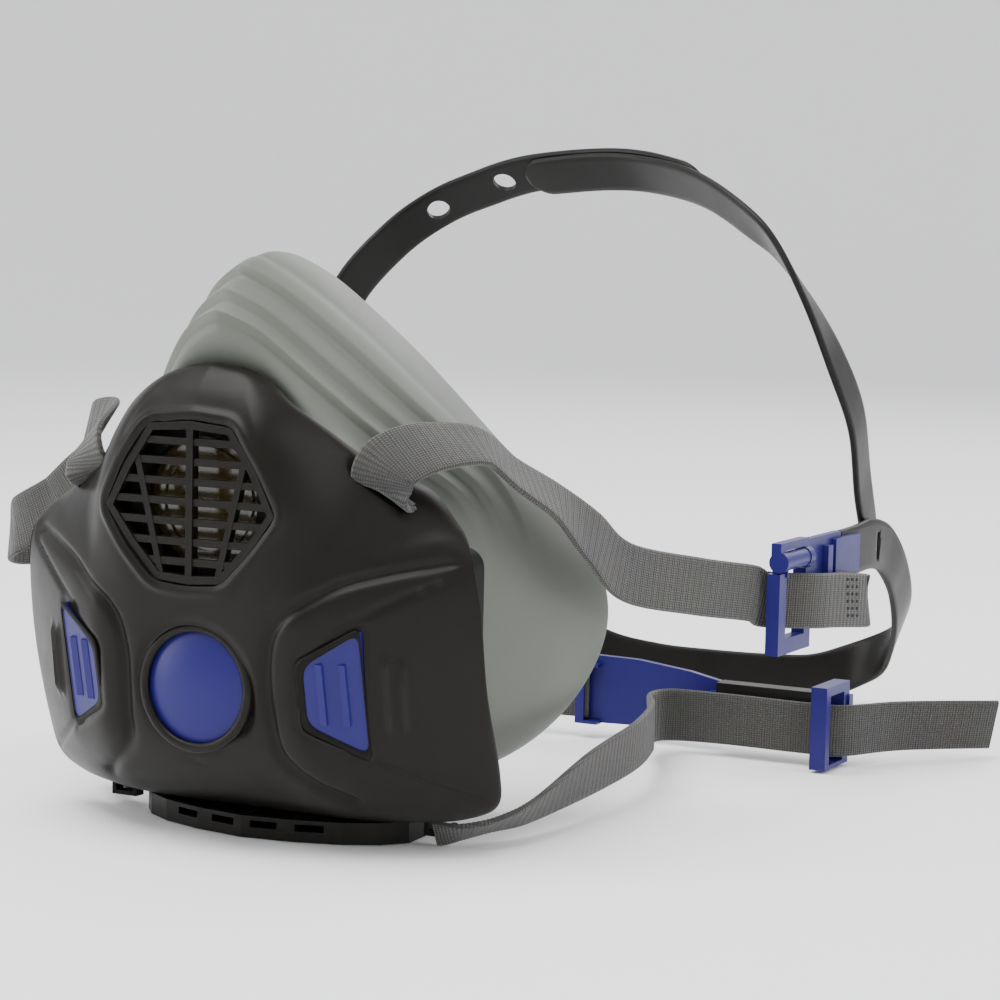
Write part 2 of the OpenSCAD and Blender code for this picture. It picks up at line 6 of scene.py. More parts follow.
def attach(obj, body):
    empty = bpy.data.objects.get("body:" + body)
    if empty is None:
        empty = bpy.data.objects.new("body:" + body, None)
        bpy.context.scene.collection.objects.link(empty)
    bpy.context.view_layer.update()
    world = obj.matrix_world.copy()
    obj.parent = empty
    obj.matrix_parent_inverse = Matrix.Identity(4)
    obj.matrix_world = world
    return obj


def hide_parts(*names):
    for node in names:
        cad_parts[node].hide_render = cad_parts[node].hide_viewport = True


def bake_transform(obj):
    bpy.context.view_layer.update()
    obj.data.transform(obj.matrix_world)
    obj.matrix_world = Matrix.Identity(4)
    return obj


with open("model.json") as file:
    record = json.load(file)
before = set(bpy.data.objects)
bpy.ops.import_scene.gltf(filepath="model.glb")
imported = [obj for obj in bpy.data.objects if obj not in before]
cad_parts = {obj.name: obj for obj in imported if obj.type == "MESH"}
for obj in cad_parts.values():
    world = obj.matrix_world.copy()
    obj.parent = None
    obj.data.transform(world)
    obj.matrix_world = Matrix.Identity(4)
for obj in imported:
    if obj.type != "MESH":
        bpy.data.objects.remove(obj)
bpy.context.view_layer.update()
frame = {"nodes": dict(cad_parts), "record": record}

MM = 0.001

# ---------------------------------------------------------------- camera
cam_d = bpy.data.cameras.new("camera")
cam = bpy.data.objects.new("camera", cam_d)
bpy.context.scene.collection.objects.link(cam)
cam_d.sensor_width = 36.0
cam_d.lens = 107.9
cam_d.clip_start = 0.01
RI = (0.887011, 0.461236, 0.021751)
UP = (-0.067454, 0.082832, 0.994278)
BK = (0.456795, -0.883403, 0.104585)
LO = (0.330581, -0.547896, 0.137097)
cam.matrix_world = Matrix([[RI[i], UP[i], BK[i], LO[i]] for i in range(3)] + [[0, 0, 0, 1]])
bpy.context.scene.camera = cam


# ---------------------------------------------------------------- materials
def link(nt, a, b):
    nt.links.new(a, b)


def node(nt, kind, **vals):
    n = nt.nodes.new(kind)
    for k, v in vals.items():
        if k in n.inputs:
            n.inputs[k].default_value = v
        else:
            setattr(n, k, v)
    return n


def moulded(name, base, rough, vary=0.06, grain=2600.0, depth=0.00004, spec=0.5, coat=0.0,
            sheen=0.0, sub=0.0, metal=0.0, convex_lighten=0.0, cloud=60.0, shade=0.16, trans=0.0):
    m = bpy.data.materials.new(name)
    m.use_nodes = True
    nt = m.node_tree
    b = nt.nodes["Principled BSDF"]
    tc = node(nt, "ShaderNodeTexCoord")
    fine = node(nt, "ShaderNodeTexNoise", Scale=grain, Detail=3.0, Roughness=0.6)
    soft = node(nt, "ShaderNodeTexNoise", Scale=cloud, Detail=5.0, Roughness=0.6)
    for t in (fine, soft):
        link(nt, tc.outputs["Object"], t.inputs["Vector"])
    mix = node(nt, "ShaderNodeMix", data_type="RGBA")
    mix.inputs[6].default_value = (*[c * (1 - shade) for c in base], 1)
    mix.inputs[7].default_value = (*[min(c * (1 + shade), 1) for c in base], 1)
    link(nt, soft.outputs["Fac"], mix.inputs[0])
    col = mix.outputs[2]
    # lighter colour on convex edges, driven by pointiness
    if convex_lighten:
        geo = node(nt, "ShaderNodeNewGeometry")
        r = node(nt, "ShaderNodeMapRange")
        r.inputs[1].default_value = 0.53
        r.inputs[2].default_value = 0.62
        r.inputs[3].default_value = 0.0
        r.inputs[4].default_value = convex_lighten
        link(nt, geo.outputs["Pointiness"], r.inputs[0])
        m2 = node(nt, "ShaderNodeMix", data_type="RGBA")
        m2.inputs[7].default_value = (*[min(c * 2.2 + 0.02, 1) for c in base], 1)
        link(nt, r.outputs[0], m2.inputs[0])
        link(nt, col, m2.inputs[6])
        col = m2.outputs[2]
    link(nt, col, b.inputs["Base Color"])
    rr = node(nt, "ShaderNodeMapRange")
    rr.inputs[1].default_value = 0.3
    rr.inputs[2].default_value = 0.7
    rr.inputs[3].default_value = rough - vary
    rr.inputs[4].default_value = rough + vary
    link(nt, soft.outputs["Fac"], rr.inputs[0])
    link(nt, rr.outputs[0], b.inputs["Roughness"])
    bp = node(nt, "ShaderNodeBump", Strength=0.35, Distance=depth)
    link(nt, fine.outputs["Fac"], bp.inputs["Height"])
    link(nt, bp.outputs[0], b.inputs["Normal"])
    b.inputs["Specular IOR Level"].default_value = spec
    b.inputs["Metallic"].default_value = metal
    b.inputs["Coat Weight"].default_value = coat
    b.inputs["Coat Roughness"].default_value = 0.25
    b.inputs["Sheen Weight"].default_value = sheen
    b.inputs["Subsurface Weight"].default_value = sub
    b.inputs["Subsurface Scale"].default_value = 0.003
    b.inputs["Transmission Weight"].default_value = trans
    return m


def knitted(name, dark, light):
    """Ribbed elastic: courses across the strap, wales along it. UV is in metres."""
    m = bpy.data.materials.new(name)
    m.use_nodes = True
    nt = m.node_tree
    b = nt.nodes["Principled BSDF"]
    uv = node(nt, "ShaderNodeUVMap")
    uv.uv_map = "UVMap"
    tc = node(nt, "ShaderNodeTexCoord")
    cross = node(nt, "ShaderNodeTexWave", wave_type="BANDS", bands_direction="X", Scale=470.0, Distortion=0.8, Detail=2.0)
    along = node(nt, "ShaderNodeTexWave", wave_type="BANDS", bands_direction="Y", Scale=600.0, Distortion=0.8, Detail=2.0)
    for w in (cross, along):
        link(nt, uv.outputs[0], w.inputs["Vector"])
    fuzz = node(nt, "ShaderNodeTexNoise", Scale=2400.0, Detail=4.0)
    soft = node(nt, "ShaderNodeTexNoise", Scale=90.0, Detail=3.0)
    link(nt, tc.outputs["Object"], fuzz.inputs["Vector"])
    link(nt, tc.outputs["Object"], soft.inputs["Vector"])
    mul = node(nt, "ShaderNodeMath", operation="MULTIPLY")
    link(nt, cross.outputs["Fac"], mul.inputs[0])
    link(nt, along.outputs["Fac"], mul.inputs[1])
    add = node(nt, "ShaderNodeMath", operation="MULTIPLY_ADD")
    add.inputs[1].default_value = 0.45
    link(nt, fuzz.outputs["Fac"], add.inputs[0])
    link(nt, mul.outputs[0], add.inputs[2])
    mix = node(nt, "ShaderNodeMix", data_type="RGBA")
    mix.inputs[6].default_value = (*dark, 1)
    mix.inputs[7].default_value = (*light, 1)
    link(nt, add.outputs[0], mix.inputs[0])
    mix2 = node(nt, "ShaderNodeMix", data_type="RGBA")
    mix2.blend_type = "MULTIPLY"
    mix2.inputs[0].default_value = 0.25
    link(nt, mix.outputs[2], mix2.inputs[6])
    link(nt, soft.outputs["Color"], mix2.inputs[7])
    link(nt, mix2.outputs[2], b.inputs["Base Color"])
    bp = node(nt, "ShaderNodeBump", Strength=0.8, Distance=0.00022)
    link(nt, add.outputs[0], bp.inputs["Height"])
    link(nt, bp.outputs[0], b.inputs["Normal"])
    b.inputs["Roughness"].default_value = 0.9
    b.inputs["Sheen Weight"].default_value = 0.25
    b.inputs["Sheen Roughness"].default_value = 0.5
    b.inputs["Specular IOR Level"].default_value = 0.2
    return m


MAT = {
    "shell_black": moulded("shell_plastic", (0.0074, 0.0065, 0.0051), 0.38, convex_lighten=0.10, spec=0.14, grain=3200, shade=0.08),
    "inner_black": moulded("inner_plastic", (0.0058, 0.0056, 0.0050), 0.52, spec=0.10, grain=3000),
    "harness_black": moulded("harness_plastic", (0.0075, 0.0069, 0.0058), 0.38, convex_lighten=0.10, spec=0.16, grain=2400, depth=0.00005),
    "seal_grey": moulded("seal_silicone", (0.108, 0.117, 0.099), 0.48, spec=0.28, sub=0.06, grain=3600, depth=0.00003, shade=0.05, sheen=0.08),
    "rubber_black": moulded("black_rubber", (0.016, 0.016, 0.016), 0.70),
    "film_amber": moulded("amber_film", (0.045, 0.030, 0.006), 0.12, spec=0.7, coat=0.5, shade=0.3, cloud=180),
    "blue": moulded("blue_plastic", (0.0125, 0.0095, 0.108), 0.36, convex_lighten=0.10, spec=0.22, grain=2800, shade=0.10),
    "steel": moulded("spring_steel", (0.55, 0.55, 0.57), 0.28, metal=1.0),
    "webbing": knitted("knit_elastic", (0.030, 0.0295, 0.027), (0.086, 0.084, 0.077)),
}
THREAD = moulded("stitch_dark", (0.012, 0.012, 0.011), 0.85)


# ---------------------------------------------------------------- mesh helpers
def mk(name, verts, faces, body, slot, uv=None, mat=None, smooth=True):
    me = bpy.data.meshes.new(name)
    me.from_pydata([tuple(float(c) * MM for c in v) for v in verts], [], [tuple(int(i) for i in f) for f in faces])
    if uv is not None:
        lay = me.uv_layers.new(name="UVMap")
        idx = np.empty(len(me.loops), dtype=np.int64)
        me.loops.foreach_get("vertex_index", idx)
        lay.data.foreach_set("uv", np.asarray(uv, float)[idx].ravel())
    me.materials.append(mat or MAT[slot])
    me.polygons.foreach_set("use_smooth", [smooth] * len(me.polygons))
    me.update()
    ob = bpy.data.objects.new(name, me)
    bpy.context.scene.collection.objects.link(ob)
    fix_normals(ob)
    if body:
        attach(ob, body)
    return ob


def fix_normals(ob):
    import bmesh
    bm = bmesh.new()
    bm.from_mesh(ob.data)
    bmesh.ops.recalc_face_normals(bm, faces=bm.faces)
    bm.to_mesh(ob.data)
    bm.free()


def crv(P, u):
    P = np.asarray(P, float)
    n = len(P)
    u = np.atleast_1d(u)
    i = np.clip(np.floor(u).astype(int), 0, n - 2)
    t = (u - i)[:, None]
    p0, p1, p2, p3 = P[np.maximum(i - 1, 0)], P[i], P[i + 1], P[np.minimum(i + 2, n - 1)]
    return 0.5 * (2 * p1 + (p2 - p0) * t + (2 * p0 - 5 * p1 + 4 * p2 - p3) * t * t + (3 * p1 - p0 - 3 * p2 + p3) * t ** 3)


def unit(v):
    return v / np.maximum(np.linalg.norm(v, axis=-1, keepdims=True), 1e-9)


def sst(a, b, v):
    t = np.clip((v - a) / (b - a), 0, 1)
    return t * t * (3 - 2 * t)


def tube(rings, loop=False, caps=True):
    n, m = rings.shape[:2]
    f = []
    for i in range(n if loop else n - 1):
        k = (i + 1) % n
        for j in range(m):
            l = (j + 1) % m
            f.append((i * m + j, i * m + l, k * m + l, k * m + j))
    if caps and not loop:
        f.append(tuple(range(m)))
        f.append(tuple(range((n - 1) * m, n * m))[::-1])
    return rings.reshape(-1, 3), f


def strap(name, st, t, step, off=0.0, width=0.0, body="head_harness", slot="webbing", ribs=0.0,
          pitch=1.15, edge=1.0, cup=0.0, round_ends=False, m=12):
    """Dense flat strap through stations [[top edge],[bottom edge]] with rounded edges."""
    st = np.asarray(st, float)
    N = len(st) - 1
    uu = np.linspace(0, N, 80 * N)
    mid = (crv(st[:, 0], uu) + crv(st[:, 1], uu)) / 2
    L = np.concatenate([[0], np.cumsum(np.linalg.norm(np.diff(mid, axis=0), axis=1))])
    n = max(int(L[-1] / step), 8)
    s = np.linspace(0, L[-1], n + 1)
    u = np.interp(s, L, uu)
    A, B = crv(st[:, 0], u), crv(st[:, 1], u)
    M = (A + B) / 2
    tg = unit(np.gradient(M, axis=0))
    wv = unit(A - B)
    wv = unit(wv - tg * np.sum(wv * tg, axis=1, keepdims=True))
    nn = unit(np.cross(tg, wv))
    hw = (np.full(len(M), width) if width else np.linalg.norm(A - B, axis=1)) / 2
    if round_ends:
        for d in (s, L[-1] - s):
            q = np.clip(d / (width / 2), 0.04, 1)
            hw = np.minimum(hw, width / 2 * np.sqrt(np.clip(1 - (1 - q) ** 2, 0.02, 1)))
    M = M + nn * off
    ht = t / 2 * (1 + ribs * np.cos(2 * np.pi * s / pitch))
    a = np.linspace(0, 1, m)
    x = 1 - 2 * a
    er = min(t / 2, 0.6)
    prof = []
    for xx in x:
        prof.append((xx, 1.0))
    rings, uv = [], []
    for k in range(len(M)):
        ring, ru = [], []
        core = max(hw[k] - er * edge, 0.05)
        for side in (1, -1):
            for xx in (x if side == 1 else -x):
                bow = cup * (xx * xx - 0.4)
                ring.append(M[k] + wv[k] * xx * core + nn[k] * (side * ht[k] + bow))
                ru.append((s[k] * MM, xx * core * MM))
            e = -1 if side == 1 else 1
            for ang in (45, 90, 135):
                r = math.radians(ang)
                ring.append(M[k] + wv[k] * e * (core + er * edge * math.sin(r))
                            + nn[k] * (side * ht[k] * math.cos(r) + cup * 0.6))
                ru.append((s[k] * MM, e * (core + er * edge * math.sin(r)) * MM))
        rings.append(ring)
        uv += ru
    v, f = tube(np.array(rings))
    return mk(name, v, f, body, slot, uv=uv)


def cut(ob, cutters):
    """Cuts closed meshes (verts, faces) out of ob and applies the result."""
    vs, fs, o = [], [], 0
    for v, f in cutters:
        vs += [tuple(p) for p in v]
        fs += [tuple(i + o for i in q) for q in f]
        o += len(v)
    me = bpy.data.meshes.new("cut")
    me.from_pydata([tuple(float(c) * MM for c in v) for v in vs], [], fs)
    c = bpy.data.objects.new("cut", me)
    bpy.context.scene.collection.objects.link(c)
    fix_normals(c)
    md = ob.modifiers.new("cut", "BOOLEAN")
    md.object = c
    md.operation = "DIFFERENCE"
    md.solver = "EXACT"
    dg = bpy.context.evaluated_depsgraph_get()
    new = bpy.data.meshes.new_from_object(ob.evaluated_get(dg), preserve_all_data_layers=True, depsgraph=dg)
    ob.modifiers.clear()
    mats = [x for x in ob.data.materials]
    ob.data = new
    while len(new.materials) > len(mats):
        new.materials.pop()
    new.polygons.foreach_set("use_smooth", [True] * len(new.polygons))
    new.polygons.foreach_set("material_index", [0] * len(new.polygons))
    bpy.data.objects.remove(c)
    return ob


def soften(ob, w=0.35, seg=3, ang=32):
    md = ob.modifiers.new("soft_edges", "BEVEL")
    md.width = w * MM
    md.segments = seg
    md.limit_method = "ANGLE"
    md.angle_limit = math.radians(ang)
    md.harden_normals = True
    md.use_clamp_overlap = True
    return ob


def prism(pts, y0, y1):
    n = len(pts)
    v = [(p[0], y0, p[1]) for p in pts] + [(p[0], y1, p[1]) for p in pts]
    f = [tuple(range(n)), tuple(range(2 * n - 1, n - 1, -1))]
    f += [(i, (i + 1) % n, (i + 1) % n + n, i + n) for i in range(n)]
    return v, f


def rod(c, ax, h0, h1, d, n=40):
    ax = unit(np.asarray(ax, float))
    a = unit(np.cross(ax, [0.3, 0.2, 0.9]))
    b = np.cross(ax, a)
    ang = np.linspace(0, 2 * np.pi, n, endpoint=False)
    ring = np.outer(np.cos(ang), a) * d / 2 + np.outer(np.sin(ang), b) * d / 2
    v = np.concatenate([np.asarray(c) + ax * h0 + ring, np.asarray(c) + ax * h1 + ring])
    f = [tuple(range(n)), tuple(range(2 * n - 1, n - 1, -1))] + [(i, (i + 1) % n, (i + 1) % n + n, i + n) for i in range(n)]
    return v, f


def rounded(poly, r, seg=6):
    """Rounds the corners of a closed 2-D outline."""
    P = np.asarray(poly, float)
    out = []
    for i in range(len(P)):
        a, b, c = P[i - 1], P[i], P[(i + 1) % len(P)]
        la, lc = np.linalg.norm(a - b), np.linalg.norm(c - b)
        k = min(r, la * 0.45, lc * 0.45)
        s, e = b + (a - b) / la * k, b + (c - b) / lc * k
        for t in np.linspace(0, 1, seg):
            out.append((1 - t) ** 2 * s + 2 * t * (1 - t) * b + t * t * e)
    return np.array(out)


# ---------------------------------------------------------------- front shell
SO = np.array([[0, 100, -34], [7, 99, -34], [13, 96.5, -34.5], [18.6, 92.2, -35], [24.5, 87.2, -31],
    [30, 82, -26], [35, 78.2, -20], [40.5, 75, -16.5], [46.5, 69.8, -18], [51, 66.2, -21],
    [54, 60.5, -23.5], [55.3, 50, -22.3], [55.5, 35, -19.5], [55.5, 18, -13.2], [54, 10.5, -11],
    [47, 7, -10.5], [38, 5.5, -10], [26, 5, -10], [0, 5, -10]], float)
YC = np.array([[0, -24], [6, -31], [12, -35.5], [20, -38.8], [27, -40.6], [34, -41.7], [45, -43],
    [52, -43.6], [60, -43], [70, -41], [80, -38.5], [90, -36], [100, -34]], float)
TH = np.array([[48, 0], [54, 1.2], [60, 2.3], [70, 4], [80, 6.8], [88, 9.5], [96, 9], [100, 7]], float)
TW = np.array([[48, 10], [56, 14], [70, 21], [80, 18], [88, 14], [96, 10], [100, 7]], float)
SCZ, SN, THK = 45.0, 3.2, 2.0
BZ = 34.1


def table(T, z):
    """Smoothed lookup: the average of the linear table over a short span."""
    return sum(np.interp(z + d, T[:, 0], T[:, 1]) * w for d, w in
               ((-4, 0.1), (-2.5, 0.15), (-1.2, 0.2), (0, 0.1), (1.2, 0.2), (2.5, 0.15), (4, 0.1)))


def front_y(x, z):
    ax = np.abs(x)
    d = ax - 24
    e = (d + np.sqrt(d * d + 6.0)) / 2
    tw = table(TW, z)
    return table(YC, z) + 0.49 * e + 0.006 * e * e - 0.35 - table(TH, z) * (1 - sst(tw, tw + 12, ax))


def shell_pt(u, s, d):
    sg = np.where(u <= 1, 1.0, -1.0)
    o = crv(SO, np.where(u <= 1, u, 2 - u) * 18)
    r = np.hypot(o[:, 0], o[:, 1] - SCZ)
    k = (r - d) / r
    f = math.radians(90 * s)
    a = math.sin(f) ** (2 / SN)
    b = 1 - max(math.cos(f), 0) ** (2 / SN)
    ox = o[:, 0] * sg
    x = ox * a * k
    z = SCZ + (o[:, 1] - SCZ) * a * k
    y = front_y(x / k, SCZ + (z - SCZ) / k) + (o[:, 2] - front_y(ox, o[:, 1])) * b + d * (1 - b)
    return np.stack([x, y, z], 1)


def dist_line(x, z, pts):
    pts = crv(np.asarray(pts, float), np.linspace(0, len(pts) - 1, 60))
    best = np.full(x.shape, 1e9)
    for a, b in zip(pts[:-1], pts[1:]):
        d = b - a
        t = np.clip(((x - a[0]) * d[0] + (z - a[1]) * d[1]) / max(d @ d, 1e-9), 0, 1)
        best = np.minimum(best, np.hypot(x - a[0] - t * d[0], z - a[1] - t * d[1]))
    return best


COLUMN = [[53.5, 62.5], [48, 61.5], [41, 60], [33, 57.5], [27, 54], [21, 50], [18, 45], [17, 37.5], [17.5, 28], [18.5, 21], [23, 16], [30, 11.5]]
SEAMS = [[[52, 60], [41, 54], [31, 47.5]], [[31, 26], [36.5, 22], [45, 16.5], [54.5, 11.5]]]
WIN = [[24.1, 27.3], [24.1, 41.2], [36, 48.7], [36, 21.2]]


def relief(x, z):
    """Depth of the moulded lines and recesses, positive inwards."""
    ax = np.abs(x)
    cd = dist_line(ax, z, COLUMN)
    g = 1.0 * np.exp(-(cd / 1.15) ** 2) + 0.35 * np.exp(-(cd / 3.0) ** 2)
    for q in SEAMS:
        g = np.maximum(g, 0.6 * np.exp(-(dist_line(ax, z, q) / 0.75) ** 2))
    w = rounded(WIN, 2.0)
    g = np.maximum(g, 0.55 * np.exp(-(dist_line(ax, z, np.vstack([w, w[:1]])) / 1.1) ** 2))
    r = np.hypot(x, z - BZ)
    g = np.maximum(g, 0.7 * np.exp(-((r - 13.2) / 1.3) ** 2))
    g = g + 0.35 * np.exp(-((np.hypot(x + 3, z - 18.6) - 1.3) / 0.3) ** 2)
    for rx in (39.6, 42.4):
        rib = np.exp(-((ax - rx) / 0.55) ** 2) * sst(27, 29, z) * (1 - sst(41, 43, z))
        g = g - 0.85 * rib
    hexd = dist_line(x, z, np.vstack([HEXR, HEXR[:1]]))
    return g - 0.75 * np.exp(-((hexd - 1.6) / 1.0) ** 2)


HEX = np.array([[0, 88.7], [9.8, 87.8], [15.6, 79.5], [20.1, 70.6], [14.5, 63], [7.9, 56.2], [0, 55.6],
    [-7.9, 56.2], [-14.5, 63], [-20.1, 70.6], [-15.6, 79.5], [-9.8, 87.8]], float)
HEXR = rounded(HEX, 2.4, 5)
HC = np.array([0, 72.0])


def grow(p, g, c=HC):
    v = np.asarray(p, float) - c
    n = np.linalg.norm(v, axis=1, keepdims=True)
    return c + v * (n + g) / n


def build_shell():
    SU = 360
    u = np.arange(SU) * 2 / SU
    a = np.concatenate([np.linspace(0.012, 0.90, 96), 0.90 + 0.10 * np.sin(np.linspace(0.06, 1, 26) * math.pi / 2)])
    S = [math.degrees(math.asin(min(q, 1) ** (SN / 2))) / 90 for q in a]
    outer = [shell_pt(u, s, 0) for s in S]
    G = np.array(outer)
    du = np.roll(G, -1, 1) - np.roll(G, 1, 1)
    ds = np.gradient(G, axis=0)
    nrm = unit(np.cross(du, ds))
    c = np.array([0, 20.0, SCZ])
    nrm = np.where(np.sum(nrm * (G - c), axis=2, keepdims=True) < 0, -nrm, nrm)
    fade = np.array([1 - float(sst(0.93, 0.99, q)) for q in a])[:, None]
    G = G - nrm * (relief(G[..., 0], G[..., 2]) * fade)[..., None]
    rings = [r for r in G]
    for k in (0.2, 0.5, 0.8):
        q = shell_pt(u, 1, THK * k)
        q[:, 1] += 0.45 * math.sin(math.pi * k)
        rings.append(q)
    for s in S[::-1][::3]:
        rings.append(shell_pt(u, s, THK))
    R = np.array(rings)
    v, f = tube(R, caps=True)
    ob = mk("front_shell_moulded", v, f, "facepiece", "shell_black")
    slot = [[30.4, 77.6], [39.4, 71.2], [40.6, 73], [31.6, 79.4]]
    cuts = [prism(grow(HEXR, 0.35), -60, -30), rod((0, -60, BZ), (0, 1, 0), 0, 30, 26, 96)]
    for s in (1, -1):
        cuts.append(prism([(s * p[0], p[1]) for p in rounded(WIN, 1.5)], -60, -20))
        cuts.append(prism([(s * p[0], p[1]) for p in slot], -60, -20.5))
    cut(ob, cuts)
    soften(ob, 0.3, 3, 50)
    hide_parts("front_shell")
    return ob


build_shell()

# ---------------------------------------------------------------- face seal
SF = [[0, -30.4, 97], [10, -30.4, 94.6], [18, -30, 90], [26, -27, 84], [31, -21, 77], [34.6, -15.8, 69.5],
    [36, -15.8, 58], [36.5, -15.8, 45], [36.5, -15.8, 32], [35.5, -15.8, 20], [30, -15.8, 12], [16, -15.8, 8], [0, -15.8, 7.4]]
SM1 = [[0, -34.5, 108.5], [8, -32.5, 105], [16, -27.5, 97], [24, -20, 88], [31.5, -12.5, 80], [39.5, -3, 72],
    [42, 2, 60], [42.5, 3, 45], [42, 3, 31], [40, 1, 19], [33, -1, 11.5], [18, -2, 8], [0, -2, 7.2]]
SM2 = [[0, -21, 121.5], [9, -17, 115.5], [18, -9, 106], [26, -2, 96.5], [33, 5, 87.5], [41.5, 13, 77],
    [46.5, 22, 63.5], [48.8, 27, 46.5], [47.8, 26, 32], [43, 20, 19], [34, 14, 11], [18, 11, 7.8], [0, 10, 7]]
SB = [[0, -7, 122.2], [8, -3, 117.5], [15, 6, 108.5], [22, 13, 99.5], [29.5, 19, 89.5], [39, 25, 77.5],
    [46.5, 38, 64.5], [50, 47, 47], [49, 45, 33], [44, 36, 20.5], [34, 28, 12], [18, 24, 8.4], [0, 22, 7.4]]


def build_seal():
    K, T = 320, 120
    u = np.arange(K) * 2 / K
    sg = np.where(u <= 1, 1.0, -1.0)[:, None]
    v = np.where(u <= 1, u, 2 - u) * 12
    F, m1, m2, B = (crv(np.array(q, float), v) for q in (SF, SM1, SM2, SB))
    for q in (F, m1, m2, B):
        q[:, :1] *= sg
    c = np.array([0, 0, 52.0])
    rb = (B - c) * [1, 0, 1]
    rb = unit(rb)
    Y = np.array([0, 1.0, 0])
    path = np.stack([F, m1, m2, B, B - rb * 3 + Y * 1.5, B - rb * 7 + Y * 0.3, B - rb * 11 - Y * 3], 1)
    t = np.linspace(0, 6, T)
    G = np.array([crv(path[k], t) for k in range(K)])
    # stepped folds over the nose, fading out down the cheeks
    top = (1 - sst(4.2, 6.4, v))[:, None]
    q = t[None, :] / 2.0
    saw = 0
    for a0, a1 in ((0.50, 0.66), (0.66, 0.82), (0.82, 1.04)):
        w0 = np.clip((q - a0) / (a1 - a0), 0, 1)
        saw = saw + sst(0.0, 0.16, w0) * (1 - w0) ** 0.8
    rm = unit((G - c) * [1, 0, 1])
    G = G + (rm * 0.75 + np.array([0, -0.66, 0])) * (saw * top * 2.3)[..., None]
    for _ in range(14):
        G = 0.5 * G + 0.25 * (np.roll(G, 1, 0) + np.roll(G, -1, 0))
    dt = np.gradient(G, axis=1)
    du = np.roll(G, -1, 0) - np.roll(G, 1, 0)
    n = unit(np.cross(dt, du))
    ref = unit((G[:, :60] - c) * [1, 0, 1])
    if np.sum(n[:, :60] * ref) < 0:
        n = -n
    w = np.where(t < 3, 2.0, 2.0 - 0.36 * (t - 3))[None, :, None]
    inner = (G - n * w)[:, ::-1]
    edge = (G[:, -1] + inner[:, 0]) / 2 + unit(dt[:, -1]) * 0.5
    sec = np.concatenate([G, edge[:, None], inner], 1)
    vv, ff = tube(sec, loop=True)
    ob = mk("face_seal_moulded", vv, ff, "facepiece", "seal_grey")
    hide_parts("face_seal")


build_seal()

# ---------------------------------------------------------------- head harness
CM = np.array([[-70.6, 156, 50], [-70.8, 151, 59.5], [-74, 140, 82], [-73, 138, 96], [-70, 140, 109], [-62, 149, 122],
    [-52, 153, 130], [-40, 153, 135], [-24, 151, 139.5], [-2, 147, 141.5], [14, 143, 141], [32, 135, 137.6],
    [48, 128, 130], [57, 126, 123], [66, 125, 110.6], [72, 129, 96], [74, 138, 82], [72.9, 147, 65], [72.3, 156, 50]], float)
CN = np.array([[-10, 1, 1], [-10, 1, 0], [-10, 1.5, 0.5], [-10, 3, 2], [-9, 4.5, 3], [-7, 5.5, 4.5], [-5, 6.5, 5.5],
    [-3.5, 7, 6], [-2, 7.2, 6.5], [0, 7.5, 6.6], [1, 7.4, 6.6], [3, 7, 6.4], [6.4, 5.8, 5.2], [8.6, 4, 3.6],
    [9.6, 2.2, 2.2], [10, 1, 1], [10, 1, 0.5], [10, 1, 0], [10, 1, 1]], float)
CWID, CTHK = 12.0, 1.6
tgc = unit(np.array([CM[min(i + 1, 18)] - CM[max(i - 1, 0)] for i in range(19)]))
cwv = unit(np.cross(tgc, CN))


def cst(a, b):
    return [[CM[i] + cwv[i] * CWID / 2, CM[i] - cwv[i] * CWID / 2] for i in range(a, b + 1)]


def crown_at(x):
    i = [k for k in range(18) if CM[k][0] <= x < CM[k + 1][0]][0]
    u = i + (x - CM[i][0]) / (CM[i + 1][0] - CM[i][0])
    return crv(CM, u)[0], unit(crv(CN, u)[0])


outer = strap("crown_strap_outer", cst(0, 11), CTHK, 0.9, off=-0.95, width=CWID, slot="harness_black", m=10, round_ends=True)
cuts = []
for x in (-52, -31.5, -13, 2):
    c, n = crown_at(x)
    cuts.append(rod(c, n, -7, 7, 6.0))
cut(outer, cuts)
soften(outer, 0.25, 2, 50)
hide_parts("crown_strap_right")
inner = strap("crown_strap_inner", cst(8, 18), CTHK, 0.9, off=0.95, width=CWID, slot="harness_black", m=10, round_ends=True)
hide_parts("crown_strap_left")


def lathe(name, c, ax, prof, body, slot, n=40, mat=None):
    ax = unit(np.asarray(ax, float))
    a = unit(np.cross(ax, [0.3, 0.2, 0.9]))
    b = np.cross(ax, a)
    ang = np.linspace(0, 2 * np.pi, n, endpoint=False)
    rings = np.array([np.asarray(c) + ax * h + (np.outer(np.cos(ang), a) + np.outer(np.sin(ang), b)) * max(r, 0.02) for r, h in prof])
    v, f = tube(rings)
    return mk(name, v, f, body, slot, mat=mat)


for k, x in enumerate((-13, 2)):
    c, n = crown_at(x)
    lathe("size_peg_%d" % k, c, n, [(0.9, 1.9), (1.5, 2.15), (2.05, 2.3), (2.2, 2.0), (2.2, 0.2), (2.2, -1.0), (0.5, -1.0)][::-1]
          + [(0.6, 1.55), (0.05, 1.5)], "head_harness", "harness_black")
c, n = crown_at(20)
lathe("crown_boss_ring", c, n, [(3.4, 1.55), (3.4, 1.95), (3.1, 2.05), (2.8, 1.95), (2.8, 1.55)], "head_harness", "harness_black")

